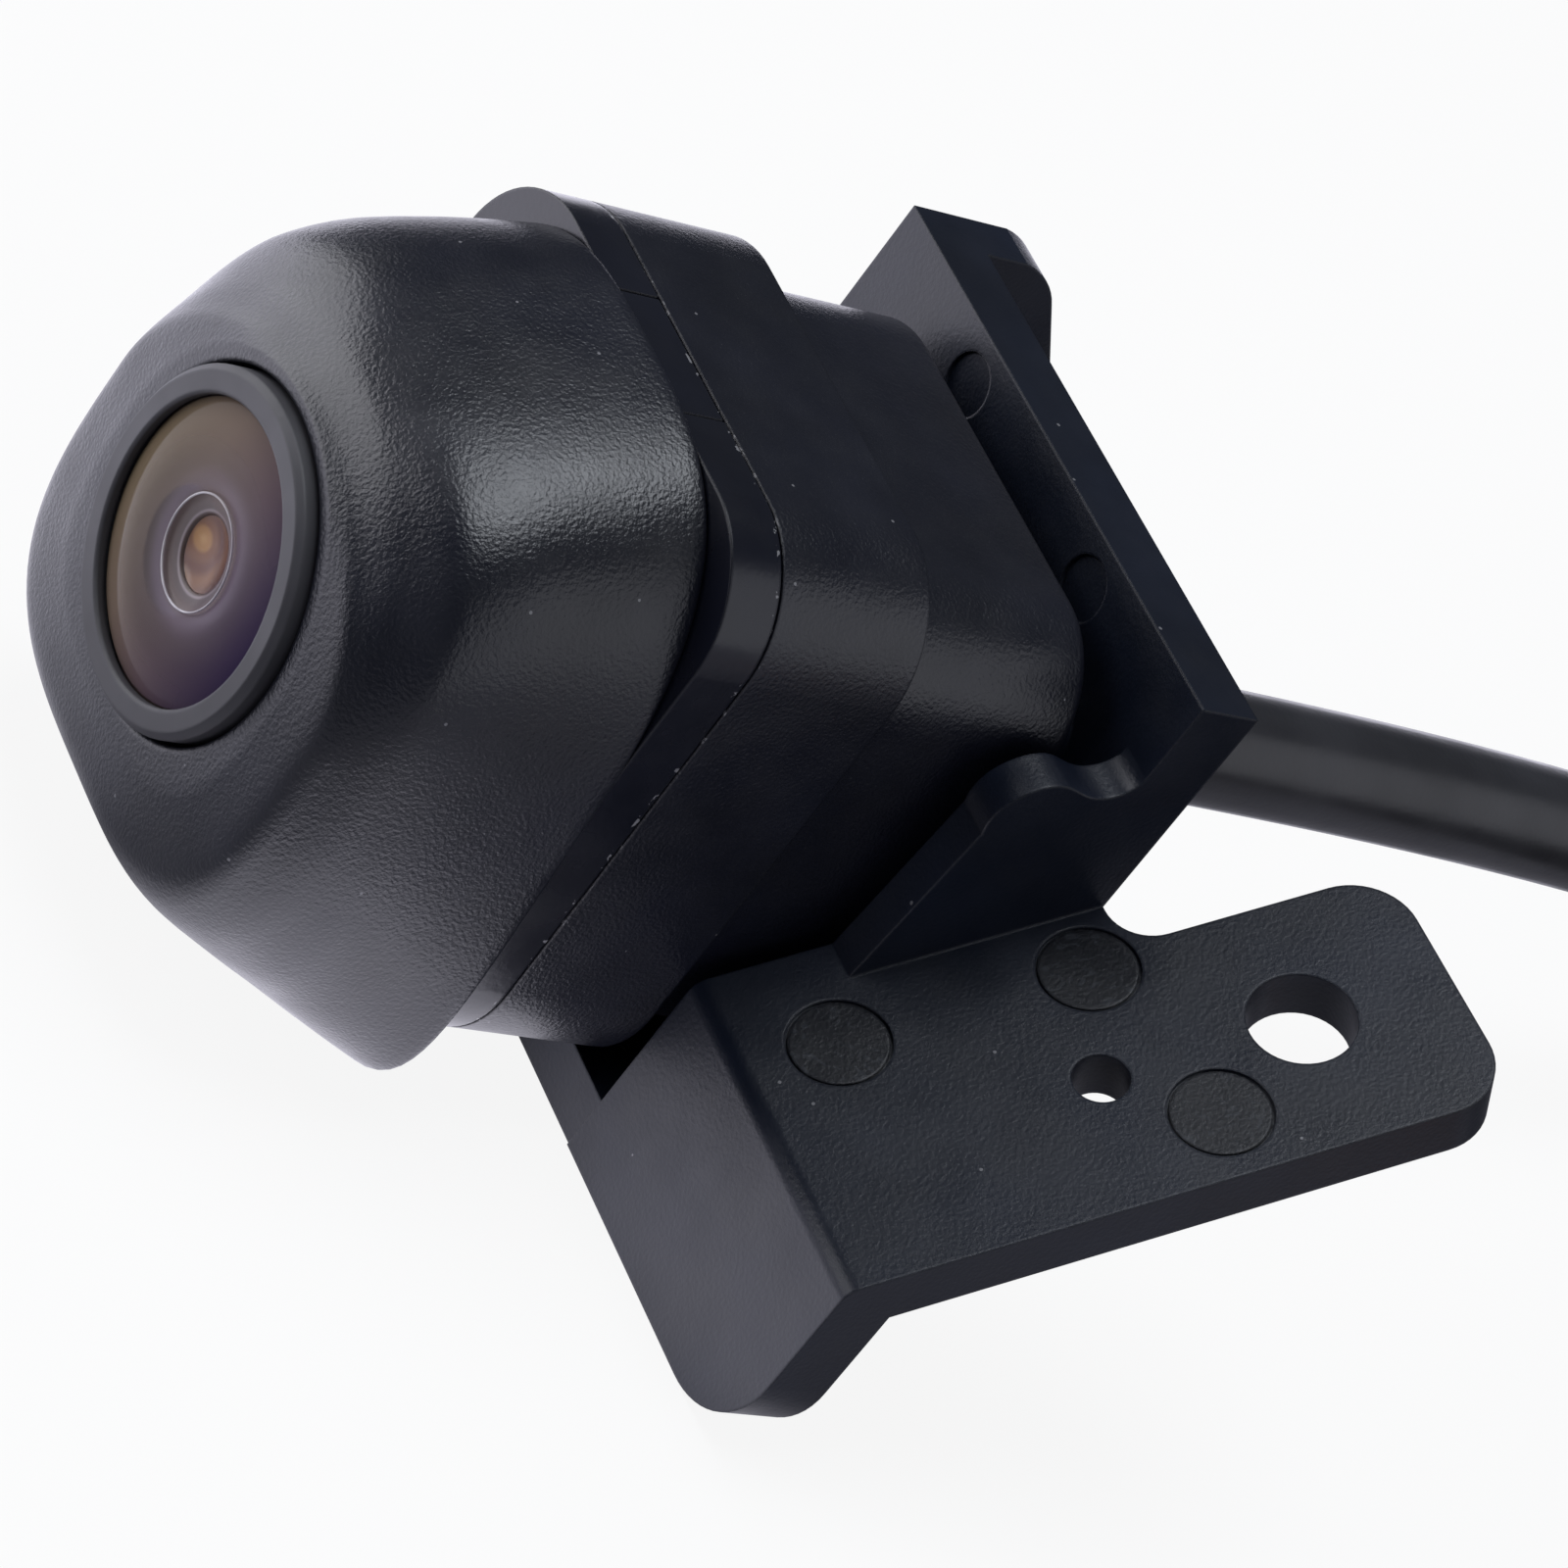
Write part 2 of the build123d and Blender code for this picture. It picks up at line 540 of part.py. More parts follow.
with BuildPart() as bracket:
    # base pad
    with BuildSketch(Plane.XY) as pad_outline:
        with Locations(((bracket_left + bracket_right) / 2, 0)):
            Rectangle(bracket_right - bracket_left, 2 * pad_half_depth)
    extrude(amount=pad_thickness)
    # back plate
    with BuildSketch(Plane.XY) as plate_outline:
        with Locations(((bracket_left + bracket_right) / 2, pad_half_depth - back_plate / 2)):
            Rectangle(bracket_right - bracket_left, back_plate)
    extrude(amount=back_height)
    # side wall, with its curved upper edge
    with BuildSketch(Plane.YZ.offset(side_inner)) as side_outline:
        with BuildLine():
            Line((-pad_half_depth, 0), (-pad_half_depth, side_low))
            Line((-pad_half_depth, side_low), (wing_foot_y, wing_foot_z))
            Line((wing_foot_y, wing_foot_z), side_edge)
            Spline(side_edge, *side_wave, (plate_front, side_shoulder))
            Line((plate_front, side_shoulder), (plate_front, back_height))
            Line((plate_front, back_height), (pad_half_depth, back_height))
            Line((pad_half_depth, back_height), (pad_half_depth, 0))
            Line((pad_half_depth, 0), (-pad_half_depth, 0))
        make_face()
    extrude(amount=side_wall)
    # front tab, below the wing's front edge
    with BuildSketch(Plane.XZ.offset(-tab_face)) as tab_outline:
        with BuildLine():
            Polyline((side_inner, 0), (wing_side, 0), (wing_side, tab_top), (side_inner, tab_top), close=True)
        make_face()
        fillet(tab_outline.vertices().sort_by(Axis.Y)[:2].sort_by(Axis.X)[-1], front_tab_corner)
    extrude(amount=-front_tab_thickness)
    # screw wing
    with BuildSketch(wing_plane) as wing_outline:
        with BuildLine():
            Line((side_inner, wing_front), (wing_side, wing_front))
            Line((wing_side, wing_front), (wing_side, wing_length))
            Line((wing_side, wing_length), (tongue_inner, wing_length))
            Line((tongue_inner, wing_length), (tongue_inner, notch_low + notch_radius))
            RadiusArc((tongue_inner, notch_low + notch_radius), (tongue_inner - notch_radius, notch_low),
                      notch_radius)
            Line((tongue_inner - notch_radius, notch_low), (side_inner, notch_low))
            Line((side_inner, notch_low), (side_inner, wing_front))
        make_face()
        fillet(wing_outline.vertices().sort_by(Axis.Y)[-2:], wing_corner)
    extrude(amount=-wing_thickness)
    bend_line = bracket.edges().filter_by(Axis.X).group_by(Axis.Y)[0].sort_by(Axis.Z)[-1]
    fillet(bend_line, bend_radius)
    # rear arm on the far side
    with BuildSketch(Plane.YZ.offset(arm_left)) as arm_outline:
        with BuildLine():
            Line((arm_root, back_height), arm_top[0])
            ThreePointArc(*arm_top)
            Line(arm_top[-1], arm_tip[0])
            ThreePointArc(*arm_tip)
            Line(arm_tip[-1], (arm_root, arm_low))
            Line((arm_root, arm_low), (arm_root, back_height))
        make_face()
    extrude(amount=arm_right - arm_left)
    # standoffs, screw holes and the cable's hole
    standoff_places = [(x, z) for x, _ in camera_screws for _, z in camera_screws]
    pegs(rear_depth, plate_front - flange_y, standoff_places, standoff_radius)
    pegs(rear_depth, pad_half_depth - flange_y, camera_screws, camera_screw_radius + screw_clearance,
         mode=Mode.SUBTRACT)
    pegs(plate_front - flange_y, pad_half_depth - flange_y, [(0, 0)], cable_hole, mode=Mode.SUBTRACT)
    # ejector marks on the back plate and the wing
    pegs(plate_front - flange_y, plate_front - flange_y + ejector_rim_depth, plate_marks, plate_mark_radius,
         mode=Mode.SUBTRACT)
    with BuildSketch(wing_plane) as marks:
        with Locations(*ejector_marks):
            Circle(ejector_radius)
    extrude(amount=-ejector_depth, mode=Mode.SUBTRACT)
    with BuildSketch(wing_plane) as mark_rims:
        with Locations(*ejector_marks):
            Circle(ejector_radius)
            Circle(ejector_radius - ejector_rim, mode=Mode.SUBTRACT)
    extrude(amount=-ejector_rim_depth, mode=Mode.SUBTRACT)
    # the wing's two through holes
    with BuildSketch(wing_plane) as wing_holes:
        with Locations(screw_hole):
            Circle(screw_hole_radius)
        with Locations(locating_hole):
            Circle(locating_hole_radius)
    extrude(amount=-2 * wing_thickness, mode=Mode.SUBTRACT)
finish(bracket.part, "bracket")

# ---- screws that hold the camera to the bracket -----------------------------------------------------------
back_depth = pad_half_depth - flange_y
screw_head_radius, screw_head_height = 2.0, 1.3
cross_half_length, cross_half_width, cross_depth = 1.1, 0.25, 0.6
cross_arms = [(cross_half_length, cross_half_width), (cross_half_width, cross_half_length)]
with BuildPart() as bracket_screws:
    pegs(screw_hole_floor + 0.2, back_depth, camera_screws, camera_screw_radius - 0.02)
    pegs(back_depth, back_depth + screw_head_height, camera_screws, screw_head_radius)
    for screw_x, screw_z in camera_screws:
        for across, up in cross_arms:
            bar(back_depth + screw_head_height - cross_depth, back_depth + screw_head_height,
                screw_x - across, screw_x + across, screw_z - up, screw_z + up, mode=Mode.SUBTRACT)
finish(bracket_screws.part, "bracket_screws")


# ---- cable ----------------------------------------------------------------------------------------------
def bend_radii(points):
    """Largest arcs that the runs allow: 0.45 of the shorter run over the tangent of half the turn."""
    radii = []
    for before, corner, after in zip(points, points[1:], points[2:]):
        run_in = Vector(*corner) - Vector(*before)
        run_out = Vector(*after) - Vector(*corner)
        turn = radians(run_in.get_angle(run_out))
        radii.append(0.45 * min(run_in.length, run_out.length) / tan(turn / 2))
    return radii


cable_radii = bend_radii(cable_points)
with BuildPart() as cable:
    with BuildLine() as cable_path:
        FilletPolyline(*cable_points, radius=cable_radii)
    with BuildSketch(Plane(origin=cable_path.wire() @ 0, z_dir=cable_path.wire() % 0)) as cable_section:
        Circle(cable_radius)
    sweep(cable_section.sketch, path=cable_path.wire())
finish(cable.part, "cable")

tail_radii = bend_radii(tail_points)
with BuildPart() as cable_tail:
    with BuildLine() as tail_path:
        FilletPolyline(*tail_points, radius=tail_radii)
    with BuildSketch(Plane(origin=tail_path.wire() @ 0, z_dir=tail_path.wire() % 0)) as tail_section:
        Circle(cable_radius)
    sweep(tail_section.sketch, path=tail_path.wire())
finish(cable_tail.part, "cable_tail")

coil_axis = Axis((coil_x, coil_y, 0), (0, 0, 1))
coil_plane = Plane(origin=(coil_x, coil_y, 0), x_dir=(1, 0, 0), z_dir=(0, -1, 0))
coil_section_places = [(coil_radii[0], lower_turn_z), (coil_radii[1], lower_turn_z),
                       (sum(coil_radii) / 2, upper_turn_z)]
with BuildPart() as cable_coil:
    with BuildSketch(coil_plane) as coil_section:
        with Locations(*coil_section_places):
            Circle(cable_radius)
        make_hull()
    revolve(axis=coil_axis)
finish(cable_coil.part, "cable_coil")

tie_angles = (60, 240)
tie_sweep = tie_width / (sum(coil_radii) / 2) / pi * 180
with BuildPart() as coil_ties:
    for tie_angle in tie_angles:
        tie_start = radians(tie_angle - tie_sweep / 2)
        tie_x, tie_y = cos(tie_start), sin(tie_start)
        tie_plane = Plane(origin=(coil_x, coil_y, 0), x_dir=(tie_x, tie_y, 0), z_dir=(tie_y, -tie_x, 0))
        for reach, mode in ((cable_radius + tie_thickness, Mode.ADD), (cable_radius, Mode.SUBTRACT)):
            with BuildSketch(tie_plane) as tie_section:
                with Locations(*coil_section_places):
                    Circle(reach)
                make_hull()
            revolve(tie_section.sketch, axis=coil_axis, revolution_arc=tie_sweep, mode=mode)
finish(coil_ties.part, "coil_ties")

# ---- connector ------------------------------------------------------------------------------------------
seal_depth = 5.5
seal_radius = 3.4
terminal_places = [(x * terminal_pitch / 2, z * terminal_pitch / 2) for x in (-1, 1) for z in (-1, 1)]
terminal_back = 54.0
interface_groove = 0.7
saddle_half_width, saddle_length, saddle_height, saddle_rise = 2.5, 2.8, 1.1, 0.35
pin_clearance = 0.06


def plug_station(y):
    """Plane across the connector at y, facing its cable end, so a positive amount runs to the back."""
    return Plane(origin=(plug_x, y, plug_z), x_dir=(-1, 0, 0), z_dir=(0, 1, 0))


def plug_block(front, back, half_width, half_height, corner, mode=Mode.ADD):
    """Rounded rectangular block round the connector's centre line, between two values of y."""
    with BuildSketch(plug_station(front)) as outline:
        RectangleRounded(2 * half_width, 2 * half_height, corner)
    extrude(outline.sketch, amount=back - front, mode=mode)


def plug_squares(front, back, side, mode=Mode.ADD):
    """Square bars or holes at the four terminal places, between two values of y."""
    with BuildSketch(plug_station(front)) as outline:
        with Locations(*terminal_places):
            Rectangle(side, side)
    extrude(outline.sketch, amount=back - front, mode=mode)


def plug_rod(front, back, radius, mode=Mode.ADD):
    """Round bar or hole on the connector's centre line, between two values of y."""
    with BuildSketch(plug_station(front)) as outline:
        Circle(radius)
    extrude(outline.sketch, amount=back - front, mode=mode)


with BuildPart() as connector_housing:
    plug_block(plug_shoulder, plug_rear, plug_half_width, plug_half_height, 1.2)
    plug_block(plug_front, plug_shoulder, nose_half_width, nose_half_height, 0.8)
    plug_block(plug_shoulder - 1.6, plug_shoulder - 0.1, nose_half_width + 1, nose_half_height + 1, 1.2,
               mode=Mode.SUBTRACT)
    plug_block(plug_shoulder - 1.7, plug_shoulder + 0.1, nose_half_width - interface_groove,
               nose_half_height - interface_groove, 0.6)
    plug_squares(plug_front, terminal_back, terminal_bore, mode=Mode.SUBTRACT)
    plug_rod(plug_rear - seal_depth, plug_rear, seal_radius, mode=Mode.SUBTRACT)
    plug_rod(terminal_back - 0.2, plug_rear, 2.9, mode=Mode.SUBTRACT)
    # saddle that the latch rocks in
    with BuildSketch(Plane.YZ.offset(plug_x - saddle_half_width)) as saddle:
        with Locations((latch_pivot_y, plug_z + plug_half_height + saddle_rise)):
            Rectangle(saddle_length, saddle_height)
        with Locations((latch_pivot_y, latch_pivot_z)):
            Circle(latch_pin_radius + pin_clearance, mode=Mode.SUBTRACT)
    extrude(amount=2 * saddle_half_width)
finish(connector_housing.part, "connector_housing")

with BuildPart() as connector_terminals:
    plug_squares(plug_front + 1.5, terminal_back - 1.0, 1.5)
    plug_squares(plug_front + 1.5, plug_front + 8.0, 0.8, mode=Mode.SUBTRACT)
finish(connector_terminals.part, "connector_terminals")

with BuildPart() as wire_seal:
    plug_rod(plug_rear - seal_depth, plug_rear - 0.4, seal_radius)
    plug_rod(plug_rear - seal_depth, plug_rear, cable_radius, mode=Mode.SUBTRACT)
finish(wire_seal.part, "wire_seal")

with BuildPart() as interface_seal:
    plug_block(plug_shoulder - 1.5, plug_shoulder - 0.2, nose_half_width + 0.25, nose_half_height + 0.25, 0.95)
    plug_block(plug_shoulder - 1.5, plug_shoulder - 0.2, nose_half_width - interface_groove,
               nose_half_height - interface_groove, 0.6, mode=Mode.SUBTRACT)
finish(interface_seal.part, "interface_seal")

lock_gap = 0.1
lock_skirt = 3.2
with BuildPart() as terminal_lock:
    plug_block(plug_front - 1.3, plug_front + lock_skirt, nose_half_width + 0.8, nose_half_height + 0.7, 1.2)
    plug_block(plug_front - lock_gap, plug_front + lock_skirt, nose_half_width + lock_gap,
               nose_half_height + lock_gap, 0.8, mode=Mode.SUBTRACT)
    plug_squares(plug_front - 1.3, plug_front, 1.2, mode=Mode.SUBTRACT)
finish(terminal_lock.part, "terminal_lock")

latch_half_width, latch_web = 2.4, 0.6
latch_under, latch_top = 10.75, 11.75
# (y, z): the hook at the front and the thumb pad at the back
latch_hook = [(42.6, latch_top), (42.0, 9.7), (43.1, 9.7), (43.9, latch_under)]
latch_stem = [(latch_pivot_y - latch_web, latch_under), (latch_pivot_y - latch_web, latch_pivot_z),
              (latch_pivot_y + latch_web, latch_pivot_z), (latch_pivot_y + latch_web, latch_under)]
latch_pad = [(58.5, 10.95), (58.5, 12.3), (55.5, 12.3), (54.0, latch_top)]
with BuildPart() as connector_latch:
    with BuildSketch(Plane.YZ.offset(plug_x - latch_half_width)) as latch_outline:
        with BuildLine():
            Polyline(*latch_hook, *latch_stem, *latch_pad, close=True)
        make_face()
        with Locations((latch_pivot_y, latch_pivot_z)):
            Circle(latch_pin_radius)
    extrude(amount=2 * latch_half_width)
finish(connector_latch.part, "connector_latch")

# ---- each tube's bend radii, length and share of the volume that its section times its length gives ------
tubes = [("cable", cable, cable_radii, cable_path), ("cable_tail", cable_tail, tail_radii, tail_path)]
for name, tube, radii, path in tubes:
    full = pi * cable_radius ** 2 * path.wire().length
    print(name, "radii", [round(r, 1) for r in radii], "length", round(path.wire().length, 1),
          "volume share", round(tube.part.volume / full, 4))
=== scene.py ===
"""Looks for the backup camera in its angle bracket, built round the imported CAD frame.

The row frame: metres, +Z up, the bracket's foot on Z = 0, the lens facing -Y and the screw wing on +X.
"""
import json
import math

import bpy
from mathutils import Matrix, Vector


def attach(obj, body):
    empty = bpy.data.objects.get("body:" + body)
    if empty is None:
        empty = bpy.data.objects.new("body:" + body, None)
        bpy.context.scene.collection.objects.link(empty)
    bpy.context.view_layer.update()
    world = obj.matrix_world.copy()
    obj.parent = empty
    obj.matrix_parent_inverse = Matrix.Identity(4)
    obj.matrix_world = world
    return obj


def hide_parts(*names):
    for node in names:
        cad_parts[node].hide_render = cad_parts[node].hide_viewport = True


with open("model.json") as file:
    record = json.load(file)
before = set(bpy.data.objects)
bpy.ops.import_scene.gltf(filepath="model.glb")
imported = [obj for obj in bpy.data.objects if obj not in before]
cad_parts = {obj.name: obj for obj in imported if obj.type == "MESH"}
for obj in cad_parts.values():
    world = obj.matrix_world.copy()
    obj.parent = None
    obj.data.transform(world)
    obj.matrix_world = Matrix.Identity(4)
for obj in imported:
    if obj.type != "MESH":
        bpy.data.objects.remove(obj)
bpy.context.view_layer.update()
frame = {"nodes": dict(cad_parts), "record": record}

MM = 0.001

# ---- camera: at the photograph's viewing angle, rolled as the photograph is --------------------------
camera_place = Vector((147.5, -155.9, 133.5)) * MM
camera_azimuth = 42.79
camera_elevation = 29.81
camera_roll = 38.06
camera_lens = 147.8

camera_data = bpy.data.cameras.new("camera")
camera_data.lens = camera_lens
camera_data.sensor_width = 36.0
camera_data.clip_start = 0.01
camera = bpy.data.objects.new("camera", camera_data)
bpy.context.scene.collection.objects.link(camera)
bpy.context.scene.camera = camera
camera.matrix_world = (
    Matrix.Translation(camera_place)
    @ Matrix.Rotation(math.radians(camera_azimuth), 4, "Z")
    @ Matrix.Rotation(math.radians(90 - camera_elevation), 4, "X")
    @ Matrix.Rotation(math.radians(camera_roll), 4, "Z")
)

# ---- cable: one spline from inside the housing, round the coil, into the connector; lengths in mm -------
cable_radius = 2.5
axis_height = 15.0
coil_x, coil_y = 27.0, 88.0
inner_turn, outer_turn = 24.5, 29.5
top_turn = (inner_turn + outer_turn) / 2
floor_z = 2.6
lower_z = 3.3
upper_z = lower_z + 2 * cable_radius * math.sin(math.pi / 3)
steps_per_turn = 20
coil_turns = 2.5
lead_points = [
    (0.0, -1.6, axis_height),
    (0.0, 17.8, axis_height),
    (0.0, 37.5, 14.5),
    (-0.3, 54.0, 12.9),
    (-0.5, 68.0, 10.2),
    (-0.3, 79.0, 8.3),
]
tail_points = [
    (57.0, 79.0, 3.4),
    (56.9, 70.0, 4.1),
    (56.5, 62.5, 4.7),
    (56.5, 57.0, 4.7),
]


def coil_level(turn):
    """Radius and height of the coil's line, after so many turns from where the cable arrives."""
    stages = [(0.0, top_turn, upper_z), (0.8, top_turn, upper_z), (1.0, inner_turn, lower_z),
              (1.45, inner_turn, lower_z), (1.6, top_turn, floor_z), (1.75, outer_turn, lower_z),
              (coil_turns, outer_turn, lower_z)]
    for (start, r0, z0), (end, r1, z1) in zip(stages, stages[1:]):
        if turn <= end:
            share = (turn - start) / (end - start)
            return r0 + (r1 - r0) * share, z0 + (z1 - z0) * share
    return outer_turn, lower_z


coil_points = []
for step in range(int(coil_turns * steps_per_turn) + 1):
    turn = step / steps_per_turn
    turn_radius, turn_z = coil_level(turn)
    angle = math.pi - 2 * math.pi * turn
    turn_x = coil_x + turn_radius * math.cos(angle)
    turn_y = coil_y + turn_radius * math.sin(angle)
    coil_points.append((turn_x, turn_y, turn_z))


def link(obj):
    """Put an object into the scene."""
    bpy.context.scene.collection.objects.link(obj)
    return obj


def spline_curve(name, points, point_radius):
    """An open NURBS curve of order 3 that starts and ends on its first and last control point."""
    curve = bpy.data.curves.new(name, "CURVE")
    curve.dimensions = "3D"
    curve.resolution_u = 12
    spline = curve.splines.new("NURBS")
    spline.points.add(len(points) - 1)
    for point, place in zip(spline.points, points):
        point.co = (*(c * MM for c in place), 1.0)
        point.radius = point_radius
    spline.order_u = 3
    spline.use_endpoint_u = True
    return curve


cord_curve = spline_curve("cable_cord", lead_points + coil_points + tail_points, cable_radius * MM)
# the points' radius is the cable's own, so the bevel's depth is 1
cord_curve.bevel_depth = 1.0
cord_curve.bevel_resolution = 8
cord_curve.use_fill_caps = True
cord = link(bpy.data.objects.new("cable_cord", cord_curve))
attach(cord, "camera")
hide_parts("cable", "cable_coil", "cable_tail")


# ---- materials ------------------------------------------------------------------------------------------
edge_radius = 0.16
dust_spacing = 2.2
dust_colour = (0.16, 0.16, 0.17)


def new_material(name):
    """A node material with its nodes, links and Principled shader."""
    material = bpy.data.materials.new(name)
    material.use_nodes = True
    nodes = material.node_tree.nodes
    return material, nodes, material.node_tree.links, nodes["Principled BSDF"]


def row_place(nodes):
    """Where the shaded point lies in the row frame, in metres."""
    return nodes.new("ShaderNodeTexCoord").outputs["Object"]


def coordinate(nodes, links, axis):
    """One coordinate of the shaded point in the row frame, in metres."""
    split = nodes.new("ShaderNodeSeparateXYZ")
    links.new(row_place(nodes), split.inputs["Vector"])
    return split.outputs[axis]


def distance_from(nodes, links, point):
    """Distance from a point of the row frame, both in metres."""
    node = nodes.new("ShaderNodeVectorMath")
    node.operation = "DISTANCE"
    node.inputs[1].default_value = point
    links.new(row_place(nodes), node.inputs[0])
    return node.outputs["Value"]


def object_noise(nodes, links, size_mm, detail=3.0, distortion=0.0):
    """Noise in the row frame whose features are about size_mm across."""
    noise = nodes.new("ShaderNodeTexNoise")
    noise.inputs["Scale"].default_value = 1 / (size_mm * MM)
    noise.inputs["Detail"].default_value = detail
    noise.inputs["Distortion"].default_value = distortion
    links.new(row_place(nodes), noise.inputs["Vector"])
    return noise.outputs["Fac"]


def cell_distance(nodes, links, size_mm):
    """Distance from the middle of the nearest small cell, in cell widths."""
    voronoi = nodes.new("ShaderNodeTexVoronoi")
    voronoi.inputs["Scale"].default_value = 1 / (size_mm * MM)
    links.new(row_place(nodes), voronoi.inputs["Vector"])
    return voronoi.outputs["Distance"]


def calculate(nodes, links, operation, first, second=0.0):
    """A Math node's value. The second term is a number or another value."""
    node = nodes.new("ShaderNodeMath")
    node.operation = operation
    links.new(first, node.inputs[0])
    if isinstance(second, float):
        node.inputs[1].default_value = second
    else:
        links.new(second, node.inputs[1])
    return node.outputs["Value"]


def ramp(nodes, links, value, stops, interpolation="LINEAR"):
    """Colour ramp over value, with stops of (position, colour)."""
    node = nodes.new("ShaderNodeValToRGB")
    node.color_ramp.interpolation = interpolation
    elements = node.color_ramp.elements
    while len(elements) < len(stops):
        elements.new(0.5)
    for element, (position, colour) in zip(elements, stops):
        element.position = position
        element.color = (*colour, 1.0)
    links.new(value, node.inputs["Fac"])
    return node.outputs["Color"]


def spread(nodes, links, value, low, high, from_low=0.3, from_high=0.7, interpolation="LINEAR"):
    """Map from_low..from_high, which is the middle of a noise unless given, onto low..high."""
    node = nodes.new("ShaderNodeMapRange")
    node.interpolation_type = interpolation
    node.inputs["From Min"].default_value = from_low
    node.inputs["From Max"].default_value = from_high
    node.inputs["To Min"].default_value = low
    node.inputs["To Max"].default_value = high
    links.new(value, node.inputs["Value"])
    return node.outputs["Result"]


def overlay(nodes, links, under, mask, colour):
    """Lay a plain colour over another where the mask says."""
    mixed = nodes.new("ShaderNodeMix")
    mixed.data_type = "RGBA"
    mixed.inputs["B"].default_value = (*colour, 1.0)
    links.new(mask, mixed.inputs["Factor"])
    links.new(under, mixed.inputs["A"])
    return mixed.outputs["Result"]


def bump(nodes, links, height, depth_mm):
    """A Bump node over a height, depth_mm deep."""
    node = nodes.new("ShaderNodeBump")
    node.inputs["Distance"].default_value = depth_mm * MM
    links.new(height, node.inputs["Height"])
    return node


def rounded_edges(nodes, radius_mm):
    """Normals that turn smoothly over an edge, so that it catches the light as a moulded edge does."""
    edge = nodes.new("ShaderNodeBevel")
    edge.inputs["Radius"].default_value = radius_mm * MM
    return edge.outputs["Normal"]


def shades(colour, shares):
    """The same colour, darker and lighter."""
    return [tuple(c * share for c in colour) for share in shares]


def moulded(name, colour, roughness, grain_mm, grain_depth_mm, dust=0.0, specular=0.5, coat=0.0):
    """Moulded plastic or rubber: slight colour and gloss variation, a fine grain, and a little dust."""
    material, nodes, links, shader = new_material(name)
    dark, middle, light = shades(colour, (0.75, 1.0, 1.35))
    tone = ramp(nodes, links, object_noise(nodes, links, 6.0), [(0.3, dark), (0.5, middle), (0.72, light)])
    if dust:
        speck = calculate(nodes, links, "LESS_THAN", cell_distance(nodes, links, dust_spacing), dust)
        tone = overlay(nodes, links, tone, speck, dust_colour)
    links.new(tone, shader.inputs["Base Color"])
    gloss = spread(nodes, links, object_noise(nodes, links, 2.5), roughness - 0.04, roughness + 0.06)
    links.new(gloss, shader.inputs["Roughness"])
    shader.inputs["Specular IOR Level"].default_value = specular
    shader.inputs["Coat Weight"].default_value = coat
    grain = bump(nodes, links, object_noise(nodes, links, grain_mm, 2.0), grain_depth_mm)
    links.new(rounded_edges(nodes, edge_radius), grain.inputs["Normal"])
    links.new(grain.outputs["Normal"], shader.inputs["Normal"])
    return material


def metal(name, colour, roughness):
    """Metal with a little unevenness in its finish."""
    material, nodes, links, shader = new_material(name)
    dark, light = shades(colour, (0.85, 1.1))
    tone = ramp(nodes, links, object_noise(nodes, links, 2.0), [(0.35, dark), (0.65, light)])
    links.new(tone, shader.inputs["Base Color"])
    shader.inputs["Metallic"].default_value = 1.0
    gloss = spread(nodes, links, object_noise(nodes, links, 0.8), roughness - 0.05, roughness + 0.08)
    links.new(gloss, shader.inputs["Roughness"])
    grain = bump(nodes, links, object_noise(nodes, links, 0.3), 0.004)
    links.new(grain.outputs["Normal"], shader.inputs["Normal"])
    return material


def glass(name, colour):
    """Clear glass with a faint tint."""
    material, nodes, links, shader = new_material(name)
    lighter = tuple(min(1.0, c * 1.04) for c in colour)
    tone = ramp(nodes, links, object_noise(nodes, links, 3.0), [(0.3, colour), (0.7, lighter)])
    links.new(tone, shader.inputs["Base Color"])
    shader.inputs["Transmission Weight"].default_value = 1.0
    shader.inputs["Roughness"].default_value = 0.02
    shader.inputs["IOR"].default_value = 1.5
    return material


